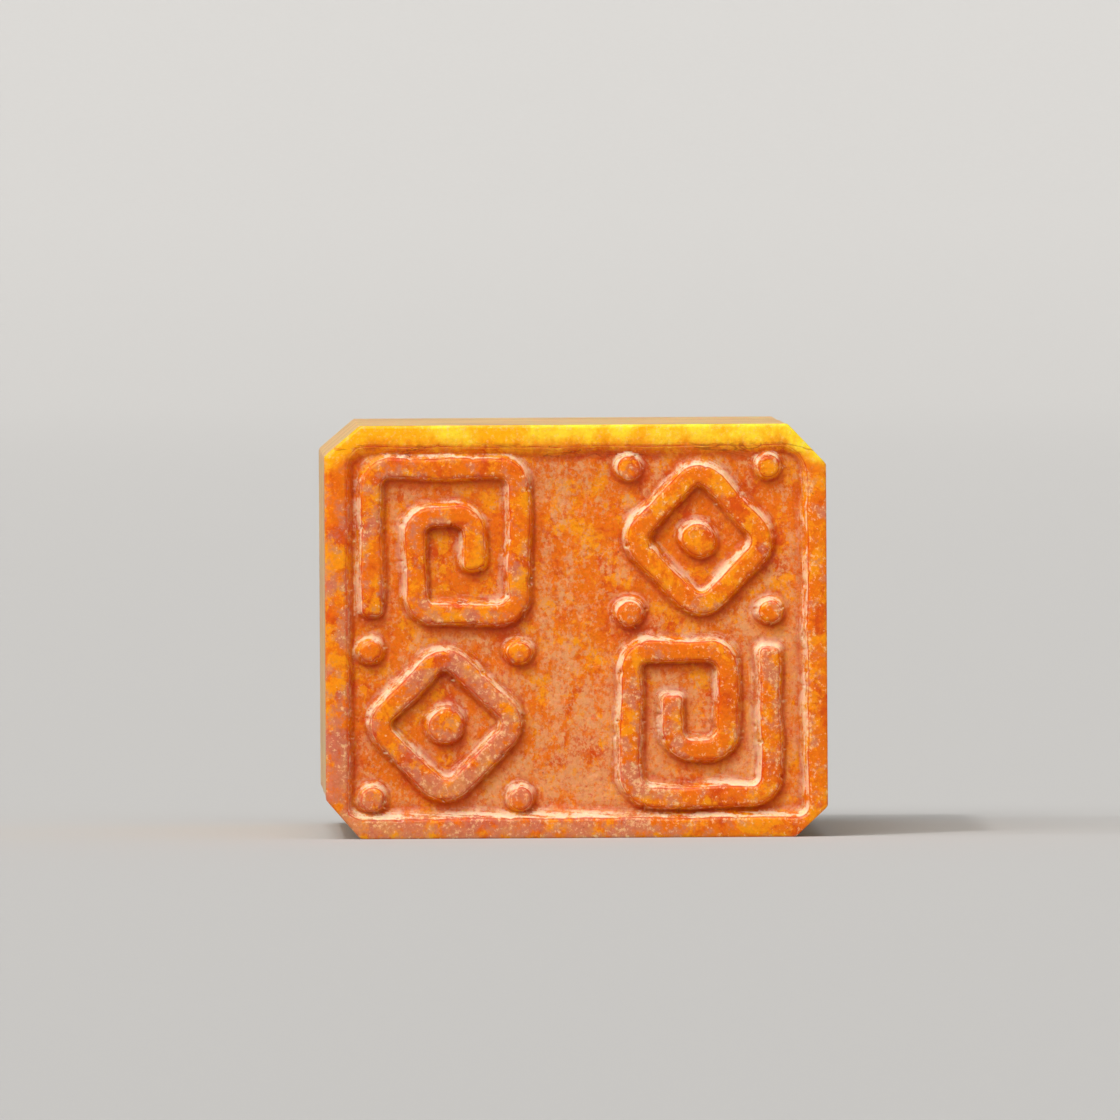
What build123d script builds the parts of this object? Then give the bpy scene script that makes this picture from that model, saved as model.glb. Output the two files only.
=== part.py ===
from build123d import *
from math import radians, tan
import os

# Seal stamp cut from a single block of soft, translucent stone.
# It lies on one of its long sides, with the printing face upright and toward -Y.
# +X is to the right of the printing face, +Y runs back along the block, +Z is up.
# The origin is on the resting side, under the middle of the block. All sizes are in mm.

# The block
face_width = 30.0
face_height = 24.7
block_length = 55.0

# The four long corners are cut away by hand, each by its own amount
upper_left_cut_width = 2.13
upper_left_cut_height = 1.80
upper_right_cut_width = 2.29
upper_right_cut_height = 2.41
lower_left_cut_width = 2.06
lower_left_cut_height = 2.35
lower_right_cut_width = 1.93
lower_right_cut_height = 1.81

# Polishing rounds the long arrises and the edges of the two ends
long_arris_radius = 0.30
face_arris_radius = 0.20
head_arris_radius = 0.60

# The raised rim, measured on its flat top
left_rim_width = 1.30
upper_rim_width = 1.28
right_rim_width = 1.10
lower_rim_width = 1.14

# The ground between the rim and the carving lies this deep below the rim's top
# A cove eases the foot of the rim's inner wall into the ground
relief_depth = 0.70
rim_wall_draft = 18.0
cove_height = 0.18
cove_draft = 52.0

# Inner corners of the rim: the upper ones follow the cut corners, the lower ones are tight
upper_left_inner_radius = 1.20
upper_right_inner_radius = 1.80
lower_left_inner_radius = 0.90
lower_right_inner_radius = 0.80

# The raised strokes, measured on their flat tops
stroke_width = 1.25
stroke_wall_draft = 16.0
stroke_bend_radius = 1.20

# Printing wears a narrow bevel along the strokes and round the inside of the rim
printing_bevel = 0.10
bevel_draft = 45.0

# The carving stands in two upright bands, with bare ground between them
left_band_gap = 0.95
left_band_width = 9.90
right_band_gap = 1.80
right_band_width = 9.40
band_end_gap = 0.75

# Each band holds two ornaments of equal height, one above the other
ornament_gap = 1.20

# Bends of the squared thunder spiral, as shares of its width and height
spiral_shares = [
    (0.00, 0.00),
    (0.00, 1.00),
    (1.00, 1.00),
    (1.00, 0.00),
    (0.30, 0.00),
    (0.30, 0.68),
    (0.70, 0.68),
    (0.70, 0.32),
]

# Corners of the lozenge, as shares of its width and height
lozenge_shares = [
    (0.50, 0.00),
    (1.00, 0.50),
    (0.50, 1.00),
    (0.00, 0.50),
]

# Studs stand inside the lozenge and in the corners around it
eye_stud_radius = 1.00
corner_stud_radius = 0.70

# Places that follow from the sizes above
half_width = face_width / 2
half_length = block_length / 2
wall_height = relief_depth - printing_bevel
bevel_spread = printing_bevel * tan(radians(bevel_draft))
wall_spread = wall_height * tan(radians(stroke_wall_draft))

inner_left = -half_width + left_rim_width
inner_right = half_width - right_rim_width
inner_bottom = lower_rim_width
inner_top = face_height - upper_rim_width

face_plane = Plane.XZ.offset(half_length)
bevel_plane = Plane.XZ.offset(half_length - printing_bevel)
ground_plane = Plane.XZ.offset(half_length - relief_depth)
head_plane = Plane.XZ.offset(-half_length)

# Each raised shape is a drafted wall from the ground up, then the bevel to the rim's level
# A stage is its plane, its height, its draft and how far it spreads beyond the flat top
wall_stage = (ground_plane, wall_height, stroke_wall_draft, bevel_spread + wall_spread)
bevel_stage = (bevel_plane, printing_bevel, bevel_draft, bevel_spread)

# The rim's inner side goes down in three stages: the bevel, the wall and the cove
# A stage is its plane, its depth, its draft and how far inside the rim's flat top it starts
rim_wall_depth = relief_depth - printing_bevel - cove_height
rim_wall_spread = rim_wall_depth * tan(radians(rim_wall_draft))
cove_plane = Plane.XZ.offset(half_length - relief_depth + cove_height)
rim_stages = [
    (face_plane, printing_bevel, bevel_draft, 0),
    (bevel_plane, rim_wall_depth, rim_wall_draft, bevel_spread),
    (cove_plane, cove_height, cove_draft, bevel_spread + rim_wall_spread),
]

# Corners of the ornaments' boxes
band_bottom = inner_bottom + band_end_gap
band_top = inner_top - band_end_gap
ornament_height = (band_top - band_bottom - ornament_gap) / 2
upper_ornament_bottom = band_top - ornament_height
left_band_left = inner_left + left_band_gap
right_band_left = inner_right - right_band_gap - right_band_width

upper_left_box = (left_band_left, upper_ornament_bottom, left_band_width, ornament_height)
lower_left_box = (left_band_left, band_bottom, left_band_width, ornament_height)
upper_right_box = (right_band_left, upper_ornament_bottom, right_band_width, ornament_height)
lower_right_box = (right_band_left, band_bottom, right_band_width, ornament_height)


def place_in(box, shares, turned=False):
    """Points at the given shares of a box, kept half a stroke inside its sides."""
    left, bottom, width, height = box
    points = []
    for across_share, up_share in shares:
        if turned:
            across_share = 1 - across_share
            up_share = 1 - up_share
        across = left + stroke_width / 2 + (width - stroke_width) * across_share
        up = bottom + stroke_width / 2 + (height - stroke_width) * up_share
        points.append((across, up))
    return points


with BuildPart() as carving:
    for plane, height, draft, spread in [wall_stage, bevel_stage]:
        # Two squared spirals
        for box, turned in [(upper_left_box, False), (lower_right_box, True)]:
            bends = place_in(box, spiral_shares, turned)
            with BuildSketch(plane):
                with BuildLine():
                    FilletPolyline(*bends, radius=stroke_bend_radius)
                trace(line_width=stroke_width + 2 * spread)
            extrude(amount=height, taper=draft)

        # Two lozenges, each with a stud inside it and one in each corner around it
        for box in [upper_right_box, lower_left_box]:
            corners = place_in(box, lozenge_shares)
            with BuildSketch(plane):
                with BuildLine():
                    FilletPolyline(*corners, radius=stroke_bend_radius, close=True)
                trace(line_width=stroke_width + 2 * spread)
                with Locations(*place_in(box, [(0.5, 0.5)])):
                    Circle(eye_stud_radius + spread)
                with Locations(*place_in(box, [(0, 0), (1, 0), (1, 1), (0, 1)])):
                    Circle(corner_stud_radius + spread)
            extrude(amount=height, taper=draft)


with BuildPart() as seal_stone:
    # The column with its cut corners
    with BuildSketch(head_plane):
        with BuildLine():
            Polyline(
                (-half_width + lower_left_cut_width, 0),
                (half_width - lower_right_cut_width, 0),
                (half_width, lower_right_cut_height),
                (half_width, face_height - upper_right_cut_height),
                (half_width - upper_right_cut_width, face_height),
                (-half_width + upper_left_cut_width, face_height),
                (-half_width, face_height - upper_left_cut_height),
                (-half_width, lower_left_cut_height),
                close=True,
            )
        make_face()
    extrude(amount=block_length)

    # Soft arrises left by polishing
    fillet(seal_stone.edges().filter_by(Axis.Y), radius=long_arris_radius)
    fillet(seal_stone.faces().sort_by(Axis.Y)[0].edges(), radius=face_arris_radius)
    fillet(seal_stone.faces().sort_by(Axis.Y)[-1].edges(), radius=head_arris_radius)

    # The ground is sunk inside the rim, whose inner wall leans outward
    for plane, depth, draft, inset in rim_stages:
        with BuildSketch(plane):
            with BuildLine():
                FilletPolyline(
                    (inner_left + inset, inner_bottom + inset),
                    (inner_right - inset, inner_bottom + inset),
                    (inner_right - inset, inner_top - inset),
                    (inner_left + inset, inner_top - inset),
                    radius=[
                        lower_left_inner_radius - inset,
                        lower_right_inner_radius - inset,
                        upper_right_inner_radius - inset,
                        upper_left_inner_radius - inset,
                    ],
                    close=True,
                )
            make_face()
        extrude(amount=-depth, taper=draft, mode=Mode.SUBTRACT)

    # The strokes are one with the ground they stand on
    add(carving.part)

seal_stone.part.label = "seal_stone"

os.makedirs("parts", exist_ok=True)
export_step(seal_stone.part, "parts/seal_stone.step")
print("seal_stone", seal_stone.part.volume, len(seal_stone.part.faces()))
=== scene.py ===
"""Seal stamp: one block of waxed amber soapstone with a relief-carved printing face.

The stone lies on one long side with its printing face toward -Y. All is in metres, in the CAD's frame.
"""

import math
from functools import partial
from itertools import product

import bpy
import numpy as np
from mathutils import Matrix, Vector


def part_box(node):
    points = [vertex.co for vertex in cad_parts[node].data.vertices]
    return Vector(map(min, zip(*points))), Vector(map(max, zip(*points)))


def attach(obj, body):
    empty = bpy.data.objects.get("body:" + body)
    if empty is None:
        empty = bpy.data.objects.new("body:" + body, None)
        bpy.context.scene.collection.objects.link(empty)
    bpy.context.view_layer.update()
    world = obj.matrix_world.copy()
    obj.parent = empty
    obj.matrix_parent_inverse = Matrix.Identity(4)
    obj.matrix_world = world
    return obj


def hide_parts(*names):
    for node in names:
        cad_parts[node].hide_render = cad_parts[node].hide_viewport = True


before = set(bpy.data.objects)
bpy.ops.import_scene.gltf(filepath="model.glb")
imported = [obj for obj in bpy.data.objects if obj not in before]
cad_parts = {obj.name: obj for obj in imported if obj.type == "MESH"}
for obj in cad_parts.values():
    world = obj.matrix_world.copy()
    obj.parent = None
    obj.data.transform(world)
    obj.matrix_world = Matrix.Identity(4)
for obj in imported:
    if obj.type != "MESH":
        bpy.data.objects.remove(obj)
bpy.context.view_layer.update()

bl_info = {
    "name": "Seal Stamp",
    "version": (1, 0, 0),
    "blender": (4, 5, 0),
    "location": "3D View > Sidebar > Seal",
    "description": "Carves a soapstone seal stamp with a rimmed printing face and sets it on a pale stage",
    "category": "Object",
}

MM = 0.001
BLOCK_LOW, BLOCK_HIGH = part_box("seal_stone")

# The mesh of the face: its columns, the size of a cell, the border left round it for the arris, and the gap
# at which two heights are the same
COLUMNS = 288
CELL = 0.0985 * MM
FACE_BORDER = 0.36 * MM
TOUCHING = 1e-9
# The rings round the block, in millimetres: insets of the arris, distances behind the face where the rings
# lie close, the last of these before the even ones, how many even ones, and the gap they leave at the head
ARRIS_INSETS = (0.27, 0.18, 0.11, 0.05, 0.015, 0.0)
FIRST_RING = 0.46
CLOSE_RINGS = (0.75, 1.2, 2.0, 3.2)
EVEN_RINGS_START = 5.0
EVEN_RINGS = 19
HEAD_GAP = 0.9

# What the hand leaves, as smooth noise: its wavelength and height in millimetres, and its seed
SWELLS = {
    "edge_sideways": (3.4, 0.13, 11),
    "edge_upward": (3.4, 0.13, 12),
    "edge_push": (1.9, 0.075, 13),
    "edge_ripple": (0.50, 0.022, 14),
    "ground_hollow": (5.0, 0.055, 31),
    "ground_dip": (2.0, 0.030, 32),
    "ground_grain": (0.24, 0.010, 34),
    "top_dish": (2.4, 0.006, 42),
    "side_wave": (9.0, 0.030, 61),
}
# Chips and pits: wavelength and depth in millimetres, the noise where one starts and is deepest, and the seed
CHIPS = {
    "edge": (0.42, 0.11, 0.28, 0.70, 15),
    "ground": (0.60, 0.05, 0.50, 0.75, 35),
    "top": (0.50, 0.045, 0.52, 0.78, 41),
    "arris": (0.45, 0.10, 0.30, 0.75, 52),
}

# Nodes that are used many times: Blender's own kind and its settings
NODES = {
    "Add": ("Math", {"operation": "ADD"}),
    "Subtract": ("Math", {"operation": "SUBTRACT"}),
    "Multiply": ("Math", {"operation": "MULTIPLY"}),
    "MultiplyAdd": ("Math", {"operation": "MULTIPLY_ADD"}),
    "Absolute": ("Math", {"operation": "ABSOLUTE"}),
    "Maximum": ("Math", {"operation": "MAXIMUM"}),
    "SmoothRange": ("MapRange", {"interpolation_type": "SMOOTHSTEP"}),
    "Blend": ("Mix", {"data_type": "RGBA"}),
}

# Lamps: strength, softness, elevation and azimuth in degrees
LAMPS = {
    "key_softbox": (1.35, 34, 36, 24),
    "overhead_softbox": (0.7, 30, 74, 20),
    "front_fill": (0.65, 60, 34, -14),
    "small_bright_lamp": (0.85, 3, 48, 30),
    "small_side_lamp": (0.4, 4, 37, 72),
}
DOME_STRENGTH = 0.20
CAMERA_ROLL = math.radians(-0.33)

# The squared thunder spiral's bends and the lozenge's corners, as shares of their boxes
SPIRAL_SHARES = ((0, 0), (0, 1), (1, 1), (1, 0), (0.30, 0), (0.30, 0.68), (0.70, 0.68), (0.70, 0.32))
LOZENGE_SHARES = ((0.5, 0), (1, 0.5), (0.5, 1), (0, 0.5))
# The studs of a lozenge: its eye, then the corners of its box
STUD_SHARES = ((0.5, 0.5), (0, 0), (1, 0), (1, 1), (0, 1))

# The side, across and up the face, whose walls a flatter blade cut
FLAT_BLADE_SIDE = (-0.36, 0.93)

# How far a cut wall has gone down, as shares of its depth, at shares of its spread:
# a worn arris, a leaning wall and a cove
WALL_SPREAD_SHARES = (0.00, 0.08, 0.20, 0.40, 0.62, 0.80, 1.00)
WALL_DEPTH_SHARES = (0.00, 0.03, 0.15, 0.50, 0.82, 0.96, 1.00)


def length(name, description, millimetres):
    """A length that a user can set, in the scene's own units."""
    return bpy.props.FloatProperty(
        name=name, description=description, default=millimetres * MM, min=0.0, unit="LENGTH", precision=5
    )


def colour(name, description, hex_value):
    """A colour that a user can set, written as an sRGB hex value."""
    start = linear(hex_value)
    return bpy.props.FloatVectorProperty(
        name=name, description=description, default=start, size=4, min=0.0, max=1.0, subtype="COLOR"
    )


def linear(hex_value):
    """Turns an sRGB hex colour into a linear one with full alpha."""
    parts = [int(hex_value[i : i + 2], 16) / 255 for i in (1, 3, 5)]
    return tuple(p / 12.92 if p <= 0.04045 else ((p + 0.055) / 1.055) ** 2.4 for p in parts) + (1.0,)


class SealBlockSizes(bpy.types.PropertyGroup):
    """The block: its section, its length and its soft arrises."""

    face_width: length("Face width", "Width of the printing face", (BLOCK_HIGH.x - BLOCK_LOW.x) / MM)
    face_height: length("Face height", "Height of the printing face", (BLOCK_HIGH.z - BLOCK_LOW.z) / MM)
    block_length: length("Length", "Length of the block", (BLOCK_HIGH.y - BLOCK_LOW.y) / MM)
    upper_left_cut_width: length("Upper left cut width", "Width of the cut corner", 2.13)
    upper_left_cut_height: length("Upper left cut height", "Height of the cut corner", 1.80)
    upper_right_cut_width: length("Upper right cut width", "Width of the cut corner", 2.29)
    upper_right_cut_height: length("Upper right cut height", "Height of the cut corner", 2.41)
    lower_left_cut_width: length("Lower left cut width", "Width of the cut corner", 2.06)
    lower_left_cut_height: length("Lower left cut height", "Height of the cut corner", 2.35)
    lower_right_cut_width: length("Lower right cut width", "Width of the cut corner", 1.93)
    lower_right_cut_height: length("Lower right cut height", "Height of the cut corner", 1.81)
    long_arris_radius: length("Long arris", "Radius of the long arrises", 0.30)
    head_arris_radius: length("Head arris", "Radius round the head of the stone", 0.60)
    upper_arris_radius: length("Upper face arris", "Wear along the upper edge of the face", 0.20)
    left_arris_radius: length("Left face arris", "Wear along the left edge of the face", 0.34)
    right_arris_radius: length("Right face arris", "Wear along the right edge of the face", 0.12)
    lower_arris_radius: length("Lower face arris", "Wear along the lower edge of the face", 0.09)


class SealCarvingSizes(bpy.types.PropertyGroup):
    """The printing face: its rim, its sunken ground and its raised strokes."""

    left_rim_width: length("Left rim", "Width of the rim's flat top", 1.30)
    upper_rim_width: length("Upper rim", "Width of the rim's flat top", 1.28)
    right_rim_width: length("Right rim", "Width of the rim's flat top", 1.10)
    lower_rim_width: length("Lower rim", "Width of the rim's flat top", 1.14)
    upper_left_inner_radius: length("Upper left inner corner", "Radius inside the rim", 1.20)
    upper_right_inner_radius: length("Upper right inner corner", "Radius inside the rim", 1.80)
    lower_left_inner_radius: length("Lower left inner corner", "Radius inside the rim", 0.90)
    lower_right_inner_radius: length("Lower right inner corner", "Radius inside the rim", 0.80)
    relief_depth: length("Relief depth", "Depth of the ground below the rim's top", 0.70)
    rim_wall_spread: length("Rim wall spread", "Width of the rim's leaning inner wall", 0.46)
    stroke_width: length("Stroke width", "Width of a stroke's flat top", 1.05)
    stroke_wall_spread: length("Stroke wall spread", "Width of a stroke's leaning wall", 0.36)
    stroke_bend_radius: length("Stroke bend", "Radius of a stroke's bends along its middle", 1.20)
    stroke_end_radius: length("Stroke end", "Radius of the corners at a stroke's end", 0.22)
    eye_stud_radius: length("Eye stud", "Radius of the stud inside a lozenge", 0.90)
    corner_stud_radius: length("Corner stud", "Radius of the studs round a lozenge", 0.62)
    left_band_gap: length("Left band gap", "From the left rim to the left band", 0.95)
    left_band_width: length("Left band width", "Width of the left band", 9.90)
    right_band_gap: length("Right band gap", "From the right rim to the right band", 1.80)
    right_band_width: length("Right band width", "Width of the right band", 9.40)
    band_end_gap: length("Band end gap", "From a band's ends to the rim", 0.75)
    ornament_gap: length("Ornament gap", "Between the two ornaments of a band", 1.20)


class SealColours(bpy.types.PropertyGroup):
    """The stone's own colours, and those that paint glow, highlight and shade on it."""

    # The deep colour is the stone's own; it is also used for painted shade at the foot of the walls
    deep: colour("Deep", "Red-orange depths of the stone", "#D24E0A")
    body: colour("Body", "Main colour of the stone", "#E6760A")
    amber: colour("Amber", "Clear amber clouds in the stone", "#F49E0E")
    # These two colours paint the yellow glow of light coming through the lit upper side of the stone
    skin: colour("Skin", "Orange-yellow skin toward the upper side", "#FFB40A")
    painted_top_glow_pale: colour("Skin glow", "Pale yellow clouds in the skin", "#FFDE34")
    bloom: colour("Bloom", "Dry bloom on the cut ground", "#E49E66")
    # A pale colour that paints the highlight on the walls facing the lamps
    painted_wall_highlight: colour("Powder", "Bruised stone on freshly cut walls", "#FCDDB8")
    lilac: colour("Lilac", "Lilac clouds on the printing surfaces", "#C4806A")
    fleck: colour("Fleck", "Pale flecks in the printing surfaces", "#F8D096")
    # The line colour also paints shade in the crease at the foot of the walls
    line: colour("Line", "Deep red lines along the edges and the foot of the walls", "#CC3E0A")
    vein: colour("Vein", "Hairline cracks and specks", "#8A240A")
    rind: colour("Rind", "Honey-coloured rind of the long sides and the head", "#DAA43A")
    rind_shade: colour("Rind shade", "Darker clouds and fibres in the rind", "#BC8226")


class SealStage(bpy.types.PropertyGroup):
    """The floor, the lamps and the camera."""

    floor: colour("Floor", "Colour of the floor and the backdrop", "#C0BEBB")
    far_floor: colour("Far floor", "The floor as it looks in the distance", "#CBC9C5")
    dome: colour("Dome", "Colour of the light all round", "#FFFFFF")
    camera_distance: length("Camera distance", "From the camera to the printing face", 2500.0)
    camera_side: length("Camera side", "How far left of the face's middle the camera stands", 29.4)
    camera_rise: length("Camera rise", "How far above the face's middle the camera stands", 32.5)
    view_width: length("View width", "Width of the view where the face stands", 66.9)
    aim_side: length("Aim side", "How far left of the face's middle the view is centred", 0.93)
    aim_rise: length("Aim rise", "How far above the face's middle the view is centred", 4.27)


def noise(points, wavelength, seed):
    """Smooth noise from about -1 to 1, one bump per wavelength, the same on every run."""
    draw = np.random.default_rng(seed)
    table = draw.permutation(256)
    slopes = draw.normal(size=(256, 3))
    slopes /= np.linalg.norm(slopes, axis=1)[:, None]
    place = points / wavelength
    cell = np.floor(place).astype(int)
    part = place - cell
    fade = part**3 * (part * (part * 6 - 15) + 10)
    total = np.zeros(len(points))
    for corner in product((0, 1), repeat=3):
        at = (cell + corner) & 255
        slope = slopes[table[(table[(table[at[:, 0]] + at[:, 1]) & 255] + at[:, 2]) & 255]]
        weight = np.prod(np.where(corner, fade, 1 - fade), axis=1)
        total += weight * np.einsum("ij,ij->i", slope, part - corner)
    return total * 1.6


def smooth_step(low, high, value):
    """Rises smoothly from 0 at low to 1 at high."""
    share = np.clip((value - low) / (high - low), 0, 1)
    return share * share * (3 - 2 * share)


def swell(points, name):
    """One of the hand's swells, in metres."""
    wavelength, height, seed = SWELLS[name]
    return noise(points, wavelength * MM, seed) * height * MM


def chips(points, name):
    """How deep the chips or pits of one kind are, in metres."""
    wavelength, depth, start, end, seed = CHIPS[name]
    return smooth_step(start, end, noise(points, wavelength * MM, seed)) * depth * MM


def on_face(points):
    """Points of the face's plane as points in space, for the noise."""
    return np.column_stack([points[:, 0], np.zeros(len(points)), points[:, 1]])


def section_corners(block, inset):
    """The eight corners of the block's section, from the lower left and round by the right, moved inward."""
    half = block.face_width / 2
    top = block.face_height
    corners = np.array(
        [
            (-half + block.lower_left_cut_width, 0),
            (half - block.lower_right_cut_width, 0),
            (half, block.lower_right_cut_height),
            (half, top - block.upper_right_cut_height),
            (half - block.upper_right_cut_width, top),
            (-half + block.upper_left_cut_width, top),
            (-half, top - block.upper_left_cut_height),
            (-half, block.lower_left_cut_height),
        ]
    )
    before = corners - np.roll(corners, 1, axis=0)
    after = np.roll(corners, -1, axis=0) - corners
    before /= np.linalg.norm(before, axis=1)[:, None]
    after /= np.linalg.norm(after, axis=1)[:, None]
    inward = np.column_stack([-before[:, 1] - after[:, 1], before[:, 0] + after[:, 0]])
    lean = 1 + np.einsum("ij,ij->i", before, after)
    return corners + inset * inward / lean[:, None]


def corner_arc(before, corner, after, radius):
    """The directions back and ahead from a corner, its arc's centre, and how far the arc reaches from it."""
    back = (before - corner) / np.linalg.norm(before - corner)
    ahead = (after - corner) / np.linalg.norm(after - corner)
    half_angle = math.acos(np.clip(back @ ahead, -1, 1)) / 2
    middle = (back + ahead) / np.linalg.norm(back + ahead)
    return back, ahead, corner + middle * radius / math.sin(half_angle), radius / math.tan(half_angle)


def soften_corners(points, corners, radius):
    """Moves the points next to each corner onto an arc of the radius."""
    points = points.copy()
    for before, corner, after in zip(np.roll(corners, 1, axis=0), corners, np.roll(corners, -1, axis=0)):
        _, _, centre, reach = corner_arc(before, corner, after, radius)
        near = np.linalg.norm(points - corner, axis=1) < reach
        spoke = points[near] - centre
        points[near] = centre + radius * spoke / np.linalg.norm(spoke, axis=1)[:, None]
    return points


def rounded_path(bends, radius, closed):
    """A path through the bends, each one rounded to the radius by a few points."""
    steps = 6
    count = len(bends)
    path = [] if closed else [bends[0]]
    for n in range(0 if closed else 1, count if closed else count - 1):
        back, ahead, centre, reach = corner_arc(bends[n - 1], bends[n], bends[(n + 1) % count], radius)
        first = bends[n] + back * reach - centre
        last = bends[n] + ahead * reach - centre
        for step in range(steps + 1):
            spoke = first * (1 - step / steps) + last * step / steps
            path.append(centre + radius * spoke / np.linalg.norm(spoke))
    path.append(path[0] if closed else bends[-1])
    return np.array(path)


def distance_to_path(points, path):
    """Distance from each point to the nearest stretch of a path."""
    nearest = np.full(len(points), np.inf)
    for start, end in zip(path[:-1], path[1:]):
        leg = end - start
        share = np.clip((points - start) @ leg / (leg @ leg), 0, 1)
        nearest = np.minimum(nearest, np.linalg.norm(points - start - share[:, None] * leg, axis=1))
    return nearest


def distance_to_bar(points, start, end, width, corner_radius):
    """Distance from each point to a straight bar with blunt ends, negative inside it."""
    run = np.linalg.norm(end - start)
    along = (end - start) / run
    across = np.array([-along[1], along[0]])
    offset = points - (start + end) / 2
    reach = np.column_stack([np.abs(offset @ along) - run / 2, np.abs(offset @ across) - width / 2])
    reach += corner_radius
    outside = np.linalg.norm(np.maximum(reach, 0), axis=1)
    return outside + np.minimum(reach.max(axis=1), 0) - corner_radius


def distance_inside_rim(points, block, carving):
    """Distance from the rim's inner edge, positive over the ground."""
    low = np.array([-block.face_width / 2 + carving.left_rim_width, carving.lower_rim_width])
    high = np.array([block.face_width / 2, block.face_height])
    high -= (carving.right_rim_width, carving.upper_rim_width)
    offset = points - (low + high) / 2
    left = offset[:, 0] < 0
    upper = offset[:, 1] > 0
    radius = np.where(
        left,
        np.where(upper, carving.upper_left_inner_radius, carving.lower_left_inner_radius),
        np.where(upper, carving.upper_right_inner_radius, carving.lower_right_inner_radius),
    )
    reach = np.abs(offset) - (high - low) / 2 + radius[:, None]
    outside = np.linalg.norm(np.maximum(reach, 0), axis=1)
    return radius - outside - np.minimum(reach.max(axis=1), 0)


def ornament_boxes(block, carving):
    """The lower left corner, width and height of the four ornaments, by name."""
    bottom = carving.lower_rim_width + carving.band_end_gap
    top = block.face_height - carving.upper_rim_width - carving.band_end_gap
    height = (top - bottom - carving.ornament_gap) / 2
    left = -block.face_width / 2 + carving.left_rim_width + carving.left_band_gap
    right = block.face_width / 2 - carving.right_rim_width - carving.right_band_gap - carving.right_band_width
    return {
        "upper_left": (left, top - height, carving.left_band_width, height),
        "lower_left": (left, bottom, carving.left_band_width, height),
        "upper_right": (right, top - height, carving.right_band_width, height),
        "lower_right": (right, bottom, carving.right_band_width, height),
    }


def place_in(box, shares, stroke_width, turned=False):
    """Points at the given shares of a box, kept half a stroke inside its sides."""
    left, bottom, width, height = box
    shares = np.array(shares)
    if turned:
        shares = 1 - shares
    return np.array([left, bottom]) + stroke_width / 2 + shares * (np.array([width, height]) - stroke_width)


def distance_to_strokes(points, block, carving):
    """Distance from the raised strokes and studs, negative on their tops."""
    width = carving.stroke_width
    boxes = ornament_boxes(block, carving)
    parts = []
    for name, turned in (("upper_left", False), ("lower_right", True)):
        bends = place_in(boxes[name], SPIRAL_SHARES, width, turned)
        path = rounded_path(bends, carving.stroke_bend_radius, closed=False)
        parts.append(distance_to_path(points, path[1:-1]) - width / 2)
        for start, end in ((path[0], path[1]), (path[-1], path[-2])):
            parts.append(distance_to_bar(points, start, end, width, carving.stroke_end_radius))
    for name in ("upper_right", "lower_left"):
        bends = place_in(boxes[name], LOZENGE_SHARES, width)
        path = rounded_path(bends, carving.stroke_bend_radius, closed=True)
        parts.append(distance_to_path(points, path) - width / 2)
        for n, stud in enumerate(place_in(boxes[name], STUD_SHARES, width)):
            radius = carving.corner_stud_radius if n else carving.eye_stud_radius
            parts.append(np.linalg.norm(points - stud, axis=1) - radius)
    return np.minimum.reduce(parts)


def cut_distances(points, block, carving):
    """Distances from the rim's and the strokes' hand-cut edges, positive over the ground."""
    space = on_face(points)
    # The hand wanders: edges bend by up to a tenth of a millimetre over a few millimetres
    wander = np.column_stack([swell(space, "edge_sideways"), swell(space, "edge_upward")])
    # Each push of the knife leaves the edge a little fuller or thinner
    fullness = swell(space, "edge_push") + swell(space, "edge_ripple")
    broken = chips(space, "edge")
    # The rim was cut along a straightedge, and strays less
    rim = distance_inside_rim(points + wander * 0.6, block, carving) + fullness * 0.7 + broken * 0.6
    strokes = distance_to_strokes(points + wander, block, carving) + fullness + broken
    return rim, strokes


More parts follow.
